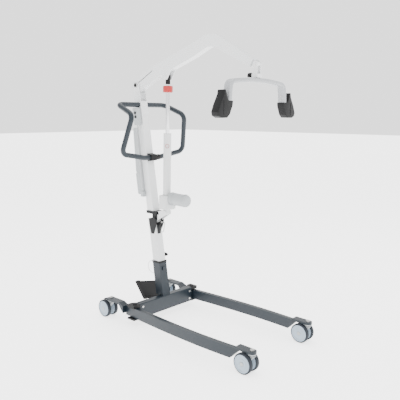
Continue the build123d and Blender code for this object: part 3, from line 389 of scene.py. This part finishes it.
class HOIST_OT_curly_cord(bpy.types.Operator):
    """Winds the handset's curly cord between the handset and its plug"""

    bl_idname = "hoist.curly_cord"
    bl_label = "Curly cord"

    def execute(self, context):
        opts = settings()
        low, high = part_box("curly_cord")
        x = (low.x + high.x) / 2
        top = Vector((x, high.y - 0.008, high.z))
        foot = Vector((x, low.y + 0.008, low.z))
        run = (foot - top).normalized()
        side = Vector((1, 0, 0))
        across = run.cross(side)
        count = opts.coil_turns * COIL_STEPS
        points = [top + Vector((0, 0, -0.0005)), top + run * 0.004]
        begin, end = top + run * 0.010, foot - run * 0.010
        for index in range(count + 1):
            angle = 2 * pi * index / COIL_STEPS
            spot = begin.lerp(end, index / count)
            points.append(spot + opts.coil_radius * (cos(angle) * side + sin(angle) * across))
        points += [foot - run * 0.004, foot]
        coil = as_mesh(line_tube("curly cord", points, opts.coil_wire, 3))
        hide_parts("curly_cord")
        settle(coil, "curly_cord_coil", paint("cord_grey"), "upper_mast", smooth=60)
        return {"FINISHED"}


class HOIST_OT_spreader(bpy.types.Operator):
    """Adds the spreader's rivets, its rounded hook boots and their ribs"""

    bl_idname = "hoist.spreader"
    bl_label = "Spreader fittings"

    def execute(self, context):
        opts = settings()
        low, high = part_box("spreader_bar")
        band_x = high.x - 0.011
        y = (low.y + high.y) / 2
        rivets = []
        for hand in (-1, 1):
            for up in (0.012, 0.030):
                for face in (-1, 1):
                    spot = (hand * (band_x + face * 0.0108) - hand * 0.0006 * up / 0.03, y, low.z + up)
                    outward = (hand * face, 0, 0)
                    rivets.append(disc(spot, outward, opts.rivet_radius, 0.003, 24, step=0.0006))
        settle(joined(rivets), "spreader_rivets", paint("zinc"), "spreader", 0.0005)
        boots = NODES["hook_boots"]
        clear_selection()
        copy = boots.copy()
        copy.data = boots.data.copy()
        for key in list(copy.keys()):
            del copy[key]
        copy.parent = None
        bpy.context.collection.objects.link(copy)
        copy.matrix_world = Matrix.Identity(4)
        lone(copy)
        weld = copy.modifiers.new("weld", "WELD")
        weld.merge_threshold = 0.00005
        bpy.ops.object.modifier_apply(modifier="weld")
        flat = copy.modifiers.new("flat", "DECIMATE")
        flat.decimate_type = "DISSOLVE"
        flat.angle_limit = radians(1.0)
        bpy.ops.object.modifier_apply(modifier="flat")
        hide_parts("hook_boots")
        soft = paint("black_plastic")
        settle(copy, "soft_hook_boots", soft, "spreader", 0.006, segments=4)
        seams = []
        for hand in (-1, 1):
            x = hand * (band_x + 0.048)
            near = (x - 0.002, y - 0.0222, low.z - 0.062)
            seam = block(near, (x + 0.002, y + 0.0222, low.z))
            bpy.ops.object.mode_set(mode="EDIT")
            pick_faces(seam, lambda normal, place: abs(normal.y) > 0.9)
            bpy.ops.mesh.inset(thickness=0.0006)
            bpy.ops.object.mode_set(mode="OBJECT")
            seams.append(seam)
        settle(joined(seams), "boot_ribs", paint("black_plastic"), "spreader", 0.0012)
        return {"FINISHED"}


class HOIST_OT_lift(bpy.types.Operator):
    """Adds the motor's bands, the gear cover, the tube's collars and its red ring"""

    bl_idname = "hoist.lift"
    bl_label = "Lift fittings"

    def execute(self, context):
        low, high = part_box("actuator_motor")
        centre = (low + high) / 2
        bands = [
            ring((0, high.y - 0.006, centre.z), (0, 1, 0), 0.0352, 0.0022, 64, 10),
            ring((0, high.y - 0.030, centre.z - 0.0004), (0, 1, 0), 0.0352, 0.0012, 64, 8),
            ring((0, low.y + 0.022, centre.z), (0, 1, 0), 0.0342, 0.0014, 64, 8),
        ]
        settle(joined(bands), "motor_bands", paint("grey_plastic"), "actuator")
        low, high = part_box("actuator_housing")
        screws = []
        for hand in (-1, 1):
            for y in (low.y + 0.016, high.y - 0.014):
                for z in (high.z - 0.012, high.z - 0.066):
                    spot = (hand * (high.x + 0.0004), y, z)
                    screws.append(disc(spot, (hand, 0, 0), 0.0038, 0.002, 20, dish=0.0008))
        settle(joined(screws), "gear_cover_screws", paint("zinc"), "actuator")
        covers = []
        for hand in (-1, 1):
            near = (hand * high.x, low.y + 0.008, high.z - 0.074)
            far = (hand * (high.x + 0.0012), high.y - 0.007, high.z - 0.005)
            covers.append(block(near, far))
        plates = joined(covers)
        settle(plates, "gear_cover_plates", paint("light_plastic"), "actuator", 0.0005)
        low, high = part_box("actuator_tube")
        collars = [
            ring((0, low.y + 0.0215, high.z - 0.004), TUBE_LEAN, 0.0205, 0.0022, 48, 10),
            ring((0, high.y - 0.0215, low.z + 0.004), TUBE_LEAN, 0.0215, 0.0022, 48, 10),
        ]
        settle(joined(collars), "tube_collars", paint("light_plastic"), "actuator")
        spot = (-0.0165, low.y + 0.0065, high.z - 0.070)
        mark = ring(spot, (-0.73, -0.68, 0.0), WARNING_RING_RADIUS, 0.0011, 40, 8)
        settle(mark, "warning_ring", paint("red_plastic"), "actuator")
        return {"FINISHED"}


class HOIST_OT_base(bpy.types.Operator):
    """Adds the foot pedal's ribs and the beam's bolts"""

    bl_idname = "hoist.base"
    bl_label = "Base fittings"

    def execute(self, context):
        opts = settings()
        along = Vector((cos(PEDAL_TILT), 0, -sin(PEDAL_TILT)))
        pin = middle("pedal_shaft")
        ribs = []
        rise = Vector((0, 0.095, 0.080)).normalized()
        lift = Vector((sin(PEDAL_TILT), 0, cos(PEDAL_TILT)))
        root = Vector((0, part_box("cross_beam")[1].y + 0.048, pin.z)) + lift * 0.0125
        normal = along.cross(rise)
        normal = normal if normal.z > 0 else -normal
        for index in range(opts.rib_count):
            reach = RIB_START + RIB_PITCH * index
            spot = root + Vector((0, rise.y, 0)) * reach + lift * (rise.z * reach)
            rib = block((-0.066, -0.003, -0.0015), (0.066, 0.003, 0.0025))
            frame_of = Matrix((along, normal.cross(along), normal)).transposed()
            rib.matrix_world = Matrix.Translation(spot + normal * 0.002) @ frame_of.to_4x4()
            ribs.append(rib)
        settle(joined(ribs), "pedal_ribs", paint("black_plastic"), "pedal", 0.001)
        low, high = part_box("cross_beam")
        bolts = []
        for hand in (-1, 1):
            for z in (low.z + 0.020, high.z - 0.020):
                spot = (hand * BEAM_BOLT_X, low.y - 0.001, z)
                bolts.append(disc(spot, (0, -1, 0), 0.006, 0.004, 24, dish=0.001))
        settle(joined(bolts), "beam_bolts", paint("zinc"), "base", 0.0004)
        return {"FINISHED"}


class HOIST_OT_mast(bpy.types.Operator):
    """Adds the handle's sleeve, the tether, the pin heads, the boom's slots and the hanger's cap"""

    bl_idname = "hoist.mast"
    bl_label = "Mast fittings"

    def execute(self, context):
        bar = middle("handle_clamp")
        low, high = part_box("handle_clamp")
        sleeve = ring((high.x + 0.030, low.y + 0.0195, bar.z), (1, 0, 0), 0.0146, 0.0016, 40, 10)
        tube = disc((high.x + 0.016, low.y + 0.0195, bar.z), (1, 0, 0), 0.0160, 0.030, 40)
        grip = joined([tube, sleeve])
        settle(grip, "handle_sleeve", paint("black_plastic"), "upper_mast", 0.001)
        low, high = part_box("mast_socket")
        y, z = high.y, low.z + 0.155
        loop = as_mesh(
            line_tube(
                "tether",
                [
                    (-0.027, y - 0.022, z + 0.043),
                    (-0.036, y + 0.014, z + 0.046),
                    (-0.038, y + 0.040, z + 0.016),
                    (-0.036, y + 0.020, z - 0.030),
                    (-0.0275, y - 0.014, z - 0.032),
                ],
                0.0014,
                4,
            )
        )
        settle(loop, "tether_loop", paint("cord_grey"), "base", smooth=60)
        pin = middle("boom_pivot_pin")
        caps = [
            disc((hand * 0.0312, pin.y, pin.z), (hand, 0, 0), 0.0105, 0.0024, 32, dish=0.0008)
            for hand in (-1, 1)
        ]
        settle(joined(caps), "boom_pin_caps", paint("black_plastic"), "upper_mast", 0.0004)
        low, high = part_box("fold_pin")
        spot = (low + high) / 2
        heads = [disc((hand * 0.0335, spot.y, spot.z), (hand, 0, 0), 0.0052, 0.002, 6) for hand in (-1, 1)]
        settle(joined(heads), "fold_pin_heads", paint("black_casting"), "base", 0.0003)
        slots = []
        for hand in (-1, 1):
            slot_line = block((-0.0006, -0.066, -0.0016), (0.0006, 0.066, 0.0016))
            lean = Matrix.Rotation(BOOM_SLOT_LEAN, 4, "X")
            place = Matrix.Translation((hand * 0.0201, pin.y - 0.076, pin.z + 0.044))
            slot_line.matrix_world = place @ lean
            slots.append(slot_line)
        settle(joined(slots), "boom_cover_slots", paint("black_casting"), "boom", 0.0003)
        low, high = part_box("hanger_yoke")
        spot = (0, (low.y + high.y) / 2 - 0.001, high.z + 0.0008)
        cap = disc(spot, (0, 0, 1), 0.009, 0.003, 40, step=0.001)
        settle(cap, "hanger_cap", paint("light_plastic"), "hanger", 0.0005)
        return {"FINISHED"}


class HOIST_OT_electrics(bpy.types.Operator):
    """Adds the rings round the handset's buttons and the battery's grip"""

    bl_idname = "hoist.electrics"
    bl_label = "Electric fittings"

    def execute(self, context):
        low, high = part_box("handset")
        marks = []
        for node in ("up_button", "down_button"):
            spot = middle(node)
            marks.append(ring((low.x + 0.0002, spot.y, spot.z), (1, 0, 0), 0.0088, 0.0009, 40, 8))
        settle(joined(marks), "button_rings", paint("black_plastic"), "upper_mast")
        low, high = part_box("battery_pack")
        grip = []
        for index in range(GRIP_BARS):
            z = high.z - 0.030 - GRIP_PITCH * index
            y = high.y - 0.0015 - BATTERY_SLOPE * (high.z - z)
            grip.append(block((-0.020, y - 0.002, z - 0.002), (0.020, y + 0.0018, z + 0.002)))
        settle(joined(grip), "battery_grip", paint("grey_plastic"), "battery", 0.0008)
        return {"FINISHED"}


class HOIST_OT_stage(bpy.types.Operator):
    """Lays the floor, the soft lights and the camera"""

    bl_idname = "hoist.stage"
    bl_label = "Stage"

    def execute(self, context):
        clear_selection()
        bpy.ops.mesh.primitive_plane_add(size=60.0, location=(0, 0, -0.0005))
        floor = bpy.context.object
        floor.name = "floor"
        pale = bpy.data.materials.new("Studio floor")
        pale.use_nodes = True
        shader = pale.node_tree.nodes["Principled BSDF"]
        shader.inputs["Base Color"].default_value = (0.93, 0.93, 0.93, 1)
        shader.inputs["Roughness"].default_value = 0.8
        shader.inputs["Emission Color"].default_value = (1, 1, 1, 1)
        shader.inputs["Emission Strength"].default_value = 2.2
        floor.data.materials.append(pale)
        world = bpy.data.worlds.new("Studio")
        context.scene.world = world
        world.use_nodes = True
        sky = world.node_tree.nodes["Background"]
        sky.inputs["Color"].default_value = (1.0, 1.0, 1.0, 1)
        sky.inputs["Strength"].default_value = 2.0
        for name, place, size, power in (
            ("key light", (-2.6, -2.4, 3.6), 2.4, 60.0),
            ("fill light", (2.8, -1.6, 2.6), 2.6, 35.0),
            ("top light", (0.2, 0.4, 3.8), 2.0, 45.0),
        ):
            bpy.ops.object.light_add(type="AREA", location=place)
            lamp = bpy.context.object
            lamp.name = name
            lamp.data.size = size
            lamp.data.energy = power
            lamp.rotation_euler = (Vector(place) - Vector((0, 0, 0.8))).to_track_quat("Z", "Y").to_euler()
        level = cos(CAMERA_RISE)
        back = Vector((sin(CAMERA_TURN) * level, -cos(CAMERA_TURN) * level, sin(CAMERA_RISE)))
        right = Vector((cos(CAMERA_TURN), sin(CAMERA_TURN), 0))
        above = back.cross(right)
        right, above = (
            right * cos(CAMERA_ROLL) + above * sin(CAMERA_ROLL),
            above * cos(CAMERA_ROLL) - right * sin(CAMERA_ROLL),
        )
        eye = bpy.data.objects.new("camera", bpy.data.cameras.new("camera"))
        eye.data.lens = CAMERA_LENS
        eye.data.sensor_width = 36.0
        context.collection.objects.link(eye)
        turned = Matrix((right, above, back)).transposed().to_4x4()
        eye.matrix_world = Matrix.Translation(CAMERA_PLACE) @ turned
        context.scene.camera = eye
        return {"FINISHED"}


class HOIST_PT_panel(bpy.types.Panel):
    """Lists the hoist's builders in the sidebar"""

    bl_idname = "HOIST_PT_panel"
    bl_label = "Patient lift hoist"
    bl_space_type = "VIEW_3D"
    bl_region_type = "UI"
    bl_category = "Hoist"

    def draw(self, context):
        for name in HoistSettings.__annotations__:
            self.layout.prop(context.scene.hoist_settings, name)
        for builder in BUILDERS:
            self.layout.operator(builder.bl_idname)


BUILDERS = (
    HOIST_OT_finishes,
    HOIST_OT_wheels,
    HOIST_OT_curly_cord,
    HOIST_OT_spreader,
    HOIST_OT_lift,
    HOIST_OT_base,
    HOIST_OT_mast,
    HOIST_OT_electrics,
    HOIST_OT_stage,
)


def register():
    for kind in (HoistSettings, *BUILDERS, HOIST_PT_panel):
        bpy.utils.register_class(kind)
    bpy.types.Scene.hoist_settings = bpy.props.PointerProperty(type=HoistSettings)


def unregister():
    del bpy.types.Scene.hoist_settings
    for kind in (HOIST_PT_panel, *reversed(BUILDERS), HoistSettings):
        bpy.utils.unregister_class(kind)


def main():
    """Builds everything in order."""
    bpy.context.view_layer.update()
    register()
    for builder in BUILDERS:
        group, action = builder.bl_idname.split(".")
        getattr(getattr(bpy.ops, group), action)()


if __name__ == "__main__":
    main()
